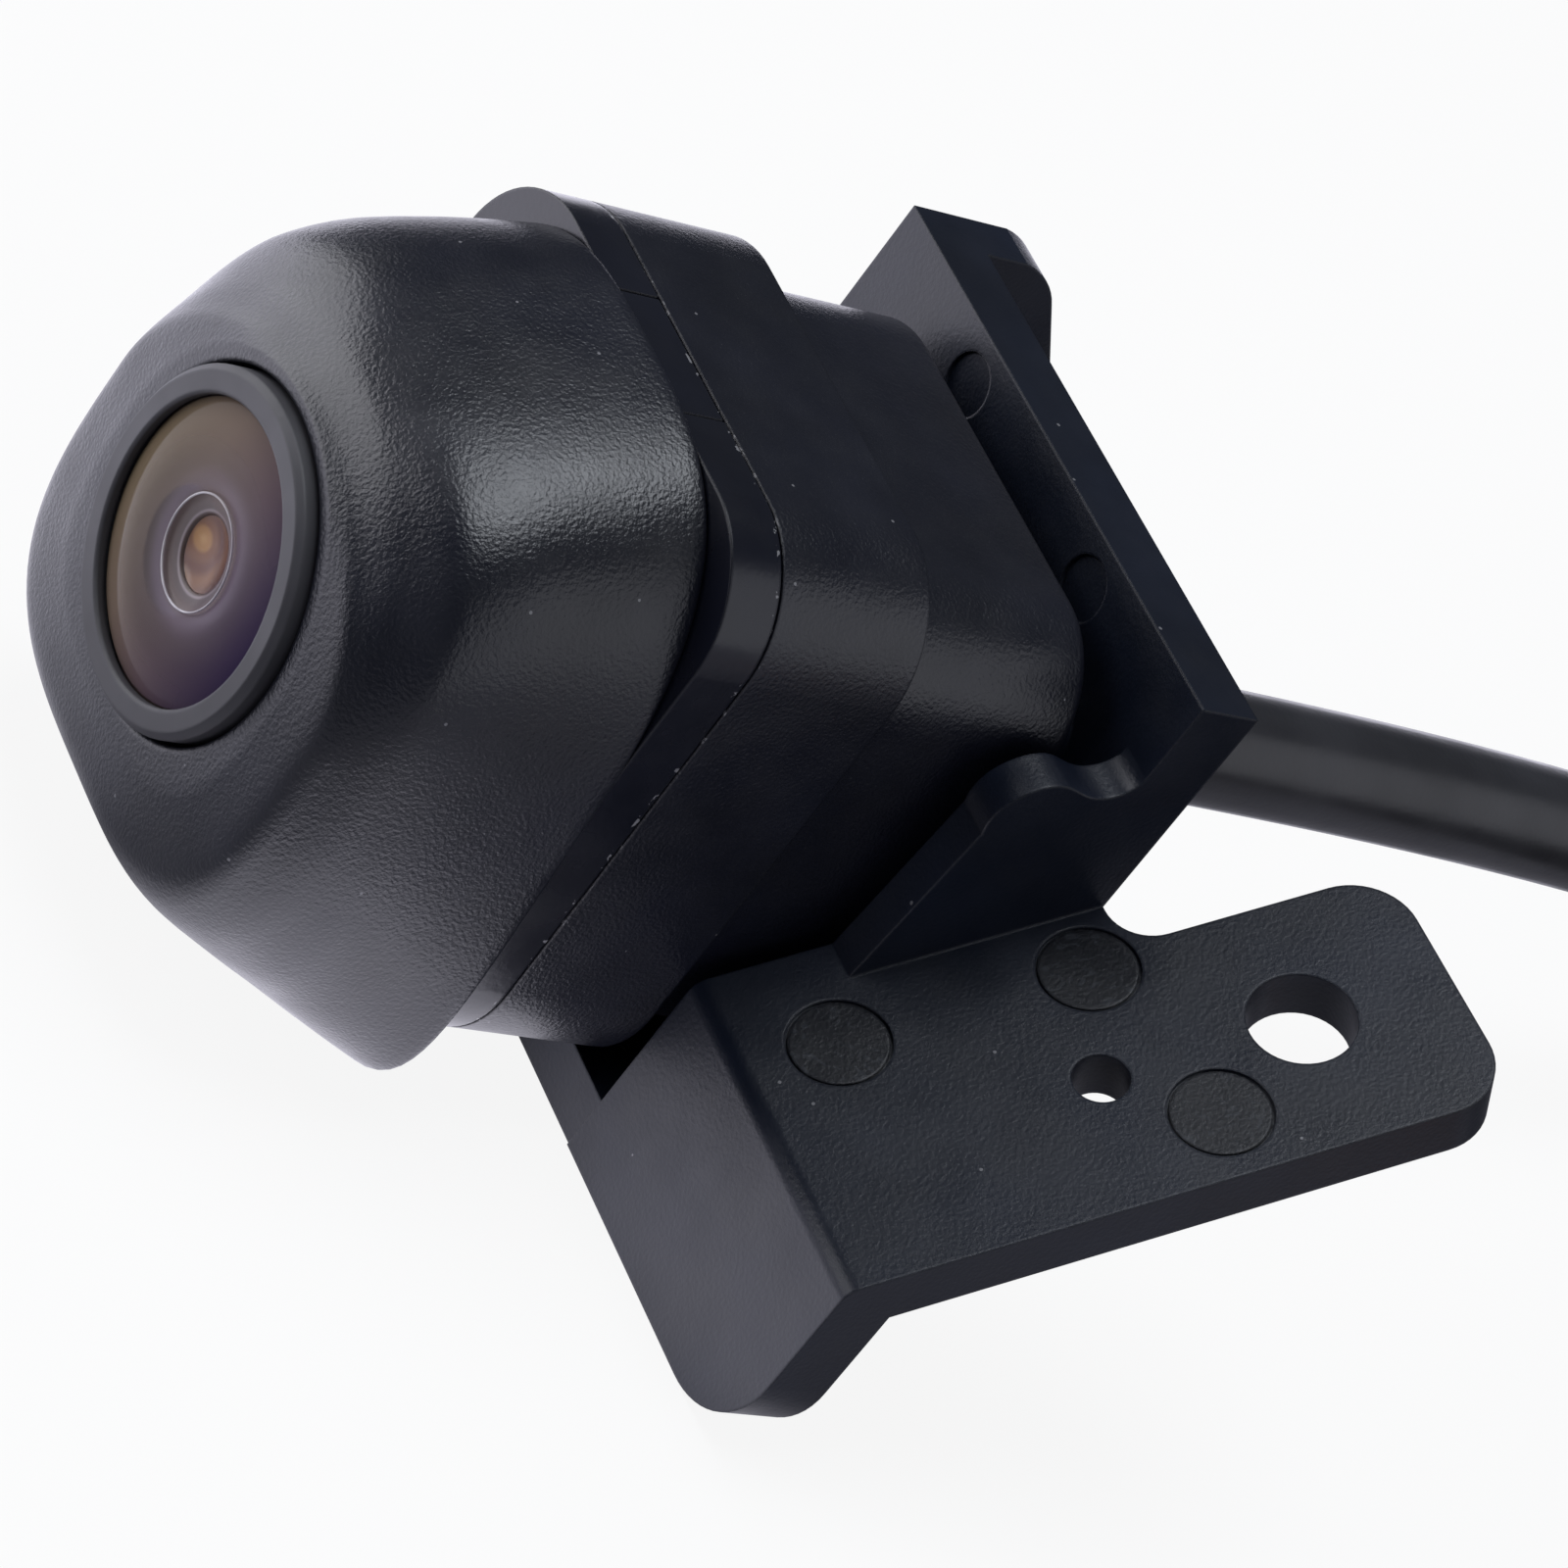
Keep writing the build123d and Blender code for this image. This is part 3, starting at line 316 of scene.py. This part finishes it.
black = (0.0052, 0.0060, 0.0112)
blue_black = (0.0050, 0.0074, 0.0150)
finishes = {
    "grained_black_plastic": moulded("grained_black_plastic", black, 0.31, 0.16, 0.032, 0.03, 0.62),
    "smooth_black_plastic": moulded("smooth_black_plastic", black, 0.25, 0.3, 0.006, 0.02, 0.55),
    "bracket_plastic": moulded("bracket_plastic", blue_black, 0.36, 0.18, 0.014, 0.035, 0.43),
    "lens_ring_satin": moulded("lens_ring_satin", (0.042, 0.041, 0.046), 0.5, 0.05, 0.002),
    "barrel_aluminium": metal("barrel_aluminium", (0.05, 0.05, 0.055), 0.35),
    "coated_glass": glass("coated_glass", (0.9, 0.85, 0.8)),
    "clear_glass": glass("clear_glass", (0.95, 0.97, 0.97)),
    "filter_glass": glass("filter_glass", (0.6, 0.85, 0.9)),
    "spacer_plastic": moulded("spacer_plastic", (0.01, 0.01, 0.01), 0.6, 0.2, 0.01),
    "seal_rubber": moulded("seal_rubber", (0.015, 0.015, 0.015), 0.55, 0.2, 0.01),
    "gland_rubber": moulded("gland_rubber", (0.014, 0.014, 0.016), 0.5, 0.15, 0.01),
    "sensor_package": moulded("sensor_package", (0.05, 0.05, 0.06), 0.2, 0.3, 0.003),
    "board_laminate": moulded("board_laminate", (0.015, 0.11, 0.045), 0.35, 0.6, 0.01, coat=0.3),
    "screw_steel": metal("screw_steel", (0.62, 0.62, 0.6), 0.3),
    "screw_black": metal("screw_black", (0.06, 0.06, 0.065), 0.4),
    "header_plastic": moulded("header_plastic", (0.02, 0.02, 0.02), 0.45, 0.3, 0.01),
    "component_black": moulded("component_black", (0.03, 0.03, 0.03), 0.5, 0.3, 0.01),
    "shield_tin": metal("shield_tin", (0.65, 0.65, 0.63), 0.25),
    "white_plastic": moulded("white_plastic", (0.72, 0.71, 0.66), 0.4, 0.3, 0.008),
    "wire_insulation": moulded("wire_insulation", (0.45, 0.04, 0.03), 0.4, 0.3, 0.005),
    "clamp_steel": metal("clamp_steel", (0.6, 0.6, 0.6), 0.3),
    "cable_jacket": moulded("cable_jacket", (0.024, 0.024, 0.027), 0.32, 0.25, 0.008, dust=0.02),
    "tie_nylon": moulded("tie_nylon", (0.014, 0.014, 0.015), 0.35, 0.4, 0.01),
    "connector_plastic": moulded("connector_plastic", (0.017, 0.017, 0.019), 0.42, 0.15, 0.012, dust=0.02),
    "terminal_tin": metal("terminal_tin", (0.65, 0.63, 0.55), 0.3),
    "connector_seal": moulded("connector_seal", (0.33, 0.05, 0.025), 0.5, 0.3, 0.01),
    "lock_plastic": moulded("lock_plastic", (0.55, 0.2, 0.03), 0.38, 0.25, 0.01),
}


def overpaint(slot, mask, colour):
    """Lay a colour over a finish's own where the mask says."""
    tree = finishes[slot].node_tree
    target = tree.nodes["Principled BSDF"].inputs["Base Color"]
    under = target.links[0].from_socket
    tree.links.new(overlay(tree.nodes, tree.links, under, mask, colour), target)


# ---- the wing's ejector marks: darker than the face round them, with faint scuffs -----------------------
wing_tilt = math.radians(32.3)
wing_foot_y, wing_foot_z = -2.1, 12.0
# middle of each mark, as its X and its distance up the slope from the wing's foot
ejector_marks = [(16.4, -1.5), (16.3, 8.5), (24.05, 10.4)]
ejector_radius = 1.95
ejector_colour = (0.0022, 0.0030, 0.0060)
scuff_size = 0.9
scuff_colour = (0.03, 0.034, 0.042)

nodes, links = finishes["bracket_plastic"].node_tree.nodes, finishes["bracket_plastic"].node_tree.links
marks = None
for across, up_slope in ejector_marks:
    middle = Vector((across, wing_foot_y + up_slope * math.cos(wing_tilt),
                     wing_foot_z + up_slope * math.sin(wing_tilt))) * MM
    mark = calculate(nodes, links, "LESS_THAN", distance_from(nodes, links, middle), ejector_radius * MM)
    marks = mark if marks is None else calculate(nodes, links, "MAXIMUM", marks, mark)
overpaint("bracket_plastic", marks, ejector_colour)
scuffs = spread(nodes, links, object_noise(nodes, links, scuff_size, 6.0, 2.5), 0.0, 0.55, 0.56, 0.66)
overpaint("bracket_plastic", calculate(nodes, links, "MULTIPLY", marks, scuffs), scuff_colour)

# ---- painted highlights: light specks along the seam between the housings, for the glints on its edges ---
seam_y, seam_reach = -13.95, 0.16
# colour of the painted highlights on the seam; it is not a colour of the plastic
seam_glint_colour = (0.2, 0.2, 0.21)

for slot in ("smooth_black_plastic", "grained_black_plastic"):
    nodes, links = finishes[slot].node_tree.nodes, finishes[slot].node_tree.links
    from_seam = calculate(nodes, links, "SUBTRACT", coordinate(nodes, links, "Y"), seam_y * MM)
    from_seam = calculate(nodes, links, "ABSOLUTE", from_seam)
    beside = calculate(nodes, links, "LESS_THAN", from_seam, seam_reach * MM)
    speck = calculate(nodes, links, "GREATER_THAN", object_noise(nodes, links, 0.45), 0.62)
    overpaint(slot, calculate(nodes, links, "MULTIPLY", beside, speck), seam_glint_colour)


def dress(obj, slot):
    """Give a piece its finish."""
    obj.data.materials.clear()
    obj.data.materials.append(finishes[slot])


for subpart in frame["record"]["subparts"]:
    dress(frame["nodes"][subpart["node"]], subpart["material_slot"])
cord_curve.materials.append(finishes["cable_jacket"])

# ---- nose cover: one smooth shell through its stations ----------------------------------------------------
# distance in front of the flange, half width, drop and rise in mm; lower and upper exponent; taper
nose_stations = [
    (0.0, 12.15, 14.8, 13.3, 5.3, 3.15, 0.08),
    (3.0, 12.05, 14.1, 12.4, 4.2, 3.2, 0.07),
    (6.0, 11.9, 13.15, 11.4, 3.55, 3.2, 0.06),
    (8.5, 11.5, 12.2, 10.35, 3.35, 2.95, 0.035),
    (10.3, 10.75, 11.25, 9.15, 3.35, 2.1, 0.015),
    (11.2, 10.1, 10.05, 7.85, 3.4, 1.85, 0.005),
    (11.6, 7.75, 7.6, 7.4, 3.0, 2.0, 0.0),
]
nose_length = 11.6
nose_lean = 0.25
body_half_height = 12.75
flange_y = -16.2
nose_bore = 6.9
mouth_round, mouth_break = 0.15, 0.04
bore_reach = 2.0
nose_rings = 46
nose_columns = 160


def nose_row(forward):
    """The nose's values at a distance in front of the flange, by monotone curves through its stations."""
    places = [row[0] for row in nose_stations]
    end = next(i for i in range(1, len(places)) if forward <= places[i])
    gap = places[end] - places[end - 1]
    share = (forward - places[end - 1]) / gap
    values = []
    for column in zip(*nose_stations):
        steps = [(b - a) / (q - p) for a, b, p, q in zip(column, column[1:], places, places[1:])]
        inner = [2 * a * b / (a + b) if a * b > 0 else 0.0 for a, b in zip(steps, steps[1:])]
        slopes = [steps[0], *inner, steps[-1]]
        blend = share * share * (3 - 2 * share)
        values.append(column[end - 1] + (column[end] - column[end - 1]) * blend
                      + gap * slopes[end - 1] * share * (1 - share) ** 2
                      - gap * slopes[end] * share ** 2 * (1 - share))
    return values


def nose_ring(forward, grow=0.0):
    """Points round the nose at a distance in front of the flange, evenly turned about the optical axis."""
    _, half_width, drop, rise, lower, upper, taper = nose_row(forward)
    lean = nose_lean * math.sin(math.pi * forward / nose_length)
    ring = []
    for column in range(nose_columns):
        angle = 2 * math.pi * column / nose_columns
        across, up = math.cos(angle), math.sin(angle)
        exponent = upper if up >= 0 else lower
        height = (rise if up >= 0 else drop) + grow
        sides = abs(across / (half_width + grow)) ** exponent + abs(up / height) ** exponent
        reach = sides ** (-1 / exponent)
        z = reach * up
        x = reach * across * (1 - taper * z / body_half_height) - lean
        ring.append(Vector((x, flange_y - forward, axis_height + z)) * MM)
    return ring


def mesh_object(name, verts, faces, slot):
    """A smoothly shaded object with its slot and finish."""
    mesh = bpy.data.meshes.new(name)
    mesh.from_pydata([tuple(v) for v in verts], [], faces)
    mesh.validate()
    mesh.polygons.foreach_set("use_smooth", [True] * len(mesh.polygons))
    obj = link(bpy.data.objects.new(name, mesh))
    mesh.materials.append(finishes[slot])
    return obj


def skin(rings):
    """Points and faces of the skin through a list of equal rings of points."""
    count = len(rings[0])
    faces = []
    for start in range(0, (len(rings) - 1) * count, count):
        for column in range(count):
            here, after = start + column, start + (column + 1) % count
            faces.append((here, after, after + count, here + count))
    return [point for ring in rings for point in ring], faces


def bore_ring(forward, radius):
    """Round ring in step with the nose's rings: its points lie in the same directions from the axis."""
    ring = []
    for point in nose_ring(min(forward, nose_length)):
        away = Vector((point.x, 0, point.z - axis_height * MM)).normalized() * radius * MM
        ring.append(Vector((away.x, (flange_y - forward) * MM, axis_height * MM + away.z)))
    return ring


edge_round = 0.25
shell_inset = 1.3
first_step = 0.001
rings = [nose_ring(0.0, -shell_inset), nose_ring(0.0, -edge_round)]
for degrees in (30, 60, 90):
    angle = math.radians(degrees)
    step_forward = first_step + edge_round * (1 - math.cos(angle))
    step_in = edge_round * (1 - math.sin(angle))
    rings.append(nose_ring(step_forward, -step_in))
for step in range(1, nose_rings + 1):
    share = step / nose_rings
    rings.append(nose_ring(edge_round + (nose_length - edge_round) * (1 - (1 - share) ** 1.6)))
front_edge = rings[-1]
mouth = bore_ring(nose_length, nose_bore + mouth_round)
for share in (0.35, 0.7, 0.9):
    rings.append([outer.lerp(inner, share) for outer, inner in zip(front_edge, mouth)])
rings.append(mouth)
rings.append(bore_ring(nose_length - mouth_break, nose_bore + mouth_break))
rings.append(bore_ring(nose_length - mouth_round, nose_bore))
rings.append(bore_ring(nose_length - bore_reach, nose_bore))
verts, faces = skin(rings)
nose = mesh_object("nose_shell", verts, faces, "grained_black_plastic")
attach(nose, "camera")
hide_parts("nose_cover")


def rounded_block(name, across, along, heights, bevel_mm, slot):
    """Block with rounded edges between limits along X, Y and Z, in mm."""
    corners = [Vector((x, y, z)) * MM for x in across for y in along for z in heights]
    sides = [(0, 1, 3, 2), (4, 6, 7, 5), (0, 4, 5, 1), (2, 3, 7, 6), (0, 2, 6, 4), (1, 5, 7, 3)]
    obj = mesh_object(name, corners, sides, slot)
    bevel = obj.modifiers.new("edges", "BEVEL")
    bevel.width = bevel_mm * MM
    bevel.segments = 3
    bevel.harden_normals = True
    return obj


tab_left, tab_right, tab_thickness = -3.4, 3.0, 1.0
tab_front, tab_back = flange_y - 1.0, flange_y + 2.25
for tab_name, side in (("nose_tab_upper", 1), ("nose_tab_lower", -1)):
    heights = sorted(axis_height + side * h for h in (body_half_height - tab_thickness, body_half_height))
    tab = rounded_block(tab_name, (tab_left, tab_right), (tab_front, tab_back), heights, 0.06,
                        "smooth_black_plastic")
    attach(tab, "camera")


# ---- lens: coated dome, the barrel's bowl below it, the second lens's rim and the iris ------------------
dome_radius, dome_front, dome_rim = 5.6, -12.6, -11.79
rim_radius, rim_depth, rim_tube = 2.15, -11.8, 0.045
iris_radius, iris_depth = 1.4, -11.36
lathe_columns = 96
least_radius = 0.001


def lathe(name, profile, slot, closed=False):
    """Turn (depth, radius) points about the optical axis; closed joins the last point to the first."""
    rings = []
    for depth, radius in profile:
        ring = []
        for column in range(lathe_columns):
            angle = 2 * math.pi * column / lathe_columns
            reach = max(radius, least_radius)
            ring.append(Vector((reach * math.cos(angle), flange_y + depth,
                                axis_height + reach * math.sin(angle))) * MM)
        rings.append(ring)
    if closed:
        rings.append(rings[0])
    verts, faces = skin(rings)
    obj = mesh_object(name, verts, faces, slot)
    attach(obj, "camera")
    return obj


def arc_profile(front, rim, radius, steps):
    """Points of a spherical cap's section, from its rim to its pole."""
    depth = rim - front
    sphere = (radius ** 2 + depth ** 2) / (2 * depth)
    half = math.asin(radius / sphere)
    return [(front + sphere * (1 - math.cos(half * k / steps)), sphere * math.sin(half * k / steps))
            for k in range(steps, -1, -1)]


dome = lathe("lens_dome", arc_profile(dome_front, dome_rim, dome_radius, 24), "coated_glass")
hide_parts("front_lens")
bowl_profile = [
    (-11.55, dome_radius + 0.3),
    (-11.55, 5.5),
    (-11.62, 4.2),
    (-11.7, 3.0),
    (-11.72, 2.3),
    (-11.66, 2.2),
    (-11.6, 2.12),
    (-11.56, 1.9),
    (-11.5, 1.6),
    (-11.46, iris_radius + 0.04),
    (iris_depth, iris_radius),
]
bowl = lathe("lens_bowl", bowl_profile, "spacer_plastic")
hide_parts("front_lens_spacer")
rim_profile = [(rim_depth + rim_tube * math.cos(a), rim_radius + rim_tube * math.sin(a))
               for a in (2 * math.pi * k / 12 for k in range(12))]
lens_rim = lathe("second_lens_rim", rim_profile, "clear_glass", closed=True)
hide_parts("second_lens")
iris_profile = [
    (iris_depth, iris_radius),
    (iris_depth + 0.08, 1.2),
    (iris_depth + 0.2, 0.8),
    (iris_depth + 0.26, 0.4),
    (iris_depth + 0.28, 0.0),
]
iris = lathe("iris", iris_profile, "clear_glass")


def axis_distance(nodes, links, x_mm):
    """Distance in mm from a line along the optical axis, moved off it by x_mm."""
    joined = nodes.new("ShaderNodeCombineXYZ")
    for axis, middle in (("X", x_mm), ("Z", axis_height)):
        shifted = nodes.new("ShaderNodeMath")
        shifted.operation = "MULTIPLY_ADD"
        shifted.inputs[1].default_value = 1 / MM
        shifted.inputs[2].default_value = -middle
        links.new(coordinate(nodes, links, axis), shifted.inputs[0])
        links.new(shifted.outputs["Value"], joined.inputs[axis])
    length = nodes.new("ShaderNodeVectorMath")
    length.operation = "LENGTH"
    links.new(joined.outputs["Vector"], length.inputs[0])
    return length.outputs["Value"]


def radial(nodes, links, reach_mm, stops, x_mm=0.0):
    """Colours by distance from the axis, out to reach_mm; stops are (distance in mm, colour)."""
    scaled = calculate(nodes, links, "DIVIDE", axis_distance(nodes, links, x_mm), reach_mm)
    return ramp(nodes, links, scaled, [(radius / reach_mm, colour) for radius, colour in stops], "EASE")


def grey(level):
    """The same level in each channel."""
    return (level, level, level)


# painted reflection: the dome's colour goes from olive brown on one side to purple on the other, standing in
# for its coating's reflection of the lights; the painted layer is thinnest over the iris
dome_material, nodes, links, shader = new_material("coated_dome_painted_reflection")
sideways = spread(nodes, links, coordinate(nodes, links, "X"), 0.0, 1.0, -dome_radius * MM, dome_radius * MM)
# painted reflection colours across the dome, from -X to +X
dome_reflection_tones = [
    (0.0, (0.15, 0.115, 0.07)),
    (0.35, (0.17, 0.125, 0.095)),
    (0.65, (0.115, 0.078, 0.088)),
    (1.0, (0.03, 0.018, 0.065)),
]
dome_cover = [(0.0, grey(0.07)), (2.2, grey(0.1)), (2.5, grey(0.45)), (5.0, grey(0.85))]
links.new(ramp(nodes, links, sideways, dome_reflection_tones), shader.inputs["Base Color"])
links.new(radial(nodes, links, 6.0, dome_cover), shader.inputs["Alpha"])
shader.inputs["Roughness"].default_value = 0.05
shader.inputs["Specular IOR Level"].default_value = 0.06
dome.data.materials[0] = dome_material

# painted light and shade: the bowl's colour has a bright ring just outside the iris, a lighter purple ring
# further out, and darkens towards its outer edge
bowl_material, nodes, links, shader = new_material("lens_bowl")
bowl_painted_light_and_shade_tones = [
    (0.0, (0.10, 0.085, 0.085)),
    (1.46, (0.09, 0.06, 0.05)),
    (1.56, (0.32, 0.27, 0.28)),
    (1.66, (0.11, 0.085, 0.08)),
    (2.05, (0.15, 0.11, 0.1)),
    (2.5, (0.2, 0.155, 0.2)),
    (3.4, (0.13, 0.1, 0.1)),
    (5.4, (0.05, 0.035, 0.03)),
]
links.new(radial(nodes, links, 6.0, bowl_painted_light_and_shade_tones), shader.inputs["Base Color"])
shader.inputs["Roughness"].default_value = 0.35
bowl.data.materials[0] = bowl_material

# painted highlight: the second lens's rim is coloured near white, standing in for the glint along its edge
rim_glint_material, nodes, links, shader = new_material("lens_rim_painted_glint")
rim_glint_tones = [(0.35, (0.6, 0.57, 0.62)), (0.6, (1.0, 0.98, 1.0))]
links.new(ramp(nodes, links, object_noise(nodes, links, 1.8), rim_glint_tones), shader.inputs["Base Color"])
shader.inputs["Roughness"].default_value = 0.2
lens_rim.data.materials[0] = rim_glint_material

# the iris's own amber colour with a painted highlight, brightest 0.85 mm off the axis towards -X as a golden
# crescent
iris_material, nodes, links, shader = new_material("iris_amber")
iris_amber_and_highlight_tones = [
    (0.0, (0.62, 0.36, 0.14)),
    (0.35, (0.5, 0.26, 0.09)),
    (0.6, (0.24, 0.1, 0.04)),
    (1.1, (0.16, 0.06, 0.03)),
    (1.5, (0.26, 0.12, 0.05)),
    (2.4, (0.08, 0.03, 0.02)),
]
links.new(radial(nodes, links, 2.4, iris_amber_and_highlight_tones, -0.85), shader.inputs["Base Color"])
shader.inputs["Roughness"].default_value = 0.12
iris.data.materials[0] = iris_material

# ---- floor, world and lights ----------------------------------------------------------------------------
floor_half = 3.0
floor_drop = 0.05
lit_from, lit_to = -0.02, 0.0
lit_side, dim_side = 1.75, 0.17
glow_place, glow_inner, glow_outer, glow_strength = (0.018, -0.018, 0.0), 0.008, 0.02, 1.6
world_colour, world_strength = (0.78, 0.84, 1.0), 0.085


def by_ray(nodes, links, seen, mirrored):
    """One shader for camera rays and another for all the rest."""
    path = nodes.new("ShaderNodeLightPath")
    chosen = nodes.new("ShaderNodeMixShader")
    links.new(path.outputs["Is Camera Ray"], chosen.inputs["Fac"])
    links.new(mirrored, chosen.inputs[1])
    links.new(seen, chosen.inputs[2])
    return chosen.outputs["Shader"]


floor_corners = [(-floor_half, -floor_half, 0), (floor_half, -floor_half, 0), (floor_half, floor_half, 0),
                 (-floor_half, floor_half, 0)]
floor_mesh = bpy.data.meshes.new("floor")
floor_mesh.from_pydata(floor_corners, [], [(0, 1, 2, 3)])
floor = link(bpy.data.objects.new("floor", floor_mesh))
floor.location.z = -floor_drop * MM

# the camera sees the floor near white with a faint shadow
floor_material, nodes, links, shader = new_material("floor_white")
shader.inputs["Base Color"].default_value = (0.8, 0.8, 0.8, 1.0)
shader.inputs["Roughness"].default_value = 0.9
bright = nodes.new("ShaderNodeEmission")
bright.inputs["Color"].default_value = (1.0, 1.0, 1.0, 1.0)
bright.inputs["Strength"].default_value = 1.0
seen = nodes.new("ShaderNodeMixShader")
seen.inputs["Fac"].default_value = 0.9
links.new(shader.outputs["BSDF"], seen.inputs[1])
links.new(bright.outputs["Emission"], seen.inputs[2])

# what the object reflects of it is bright on the -X side and in one patch near the bracket's front tab
side_light = spread(nodes, links, coordinate(nodes, links, "X"), lit_side, dim_side, lit_from, lit_to)
patch_light = spread(nodes, links, distance_from(nodes, links, glow_place), glow_strength, 0.0,
                     glow_inner, glow_outer, "SMOOTHSTEP")
lit = nodes.new("ShaderNodeEmission")
lit.inputs["Color"].default_value = (0.9, 0.88, 1.0, 1.0)
links.new(calculate(nodes, links, "ADD", side_light, patch_light), lit.inputs["Strength"])
matt = nodes.new("ShaderNodeBsdfDiffuse")
matt.inputs["Color"].default_value = (0.2, 0.2, 0.23, 1.0)
mirrored = nodes.new("ShaderNodeAddShader")
links.new(lit.outputs["Emission"], mirrored.inputs[0])
links.new(matt.outputs["BSDF"], mirrored.inputs[1])
links.new(by_ray(nodes, links, seen.outputs["Shader"], mirrored.outputs["Shader"]),
          nodes["Material Output"].inputs["Surface"])
floor_mesh.materials.append(floor_material)

world = bpy.data.worlds.new("studio")
bpy.context.scene.world = world
world.use_nodes = True
nodes, links = world.node_tree.nodes, world.node_tree.links
dim = nodes["Background"]
dim.inputs["Color"].default_value = (*world_colour, 1.0)
dim.inputs["Strength"].default_value = world_strength
white = nodes.new("ShaderNodeBackground")
white.inputs["Color"].default_value = (1.0, 1.0, 1.0, 1.0)
links.new(by_ray(nodes, links, white.outputs["Background"], dim.outputs["Background"]),
          nodes["World Output"].inputs["Surface"])


def softbox(name, direction, distance, width, height, power, colour):
    """Area light in a direction from the middle of the object, facing it."""
    data = bpy.data.lights.new(name, "AREA")
    data.shape = "RECTANGLE"
    data.size, data.size_y = width, height
    data.energy = power
    data.color = colour
    light = link(bpy.data.objects.new(name, data))
    towards = Vector(direction).normalized()
    light.location = Vector((0.0, 0.0, axis_height * MM)) + towards * distance
    light.rotation_euler = towards.to_track_quat("Z", "Y").to_euler()


softbox("overhead", (-0.1, -0.08, 0.99), 0.6, 0.42, 0.30, 2.3, (0.9, 0.94, 1.0))
softbox("left_wall", (-0.74, -0.63, 0.25), 0.45, 0.54, 0.4, 2.0, (0.95, 0.95, 1.0))
softbox("right_wall", (0.75, 0.55, 0.35), 0.5, 0.8, 0.55, 1.1, (0.92, 0.93, 1.0))

bpy.context.scene.view_settings.view_transform = "Standard"
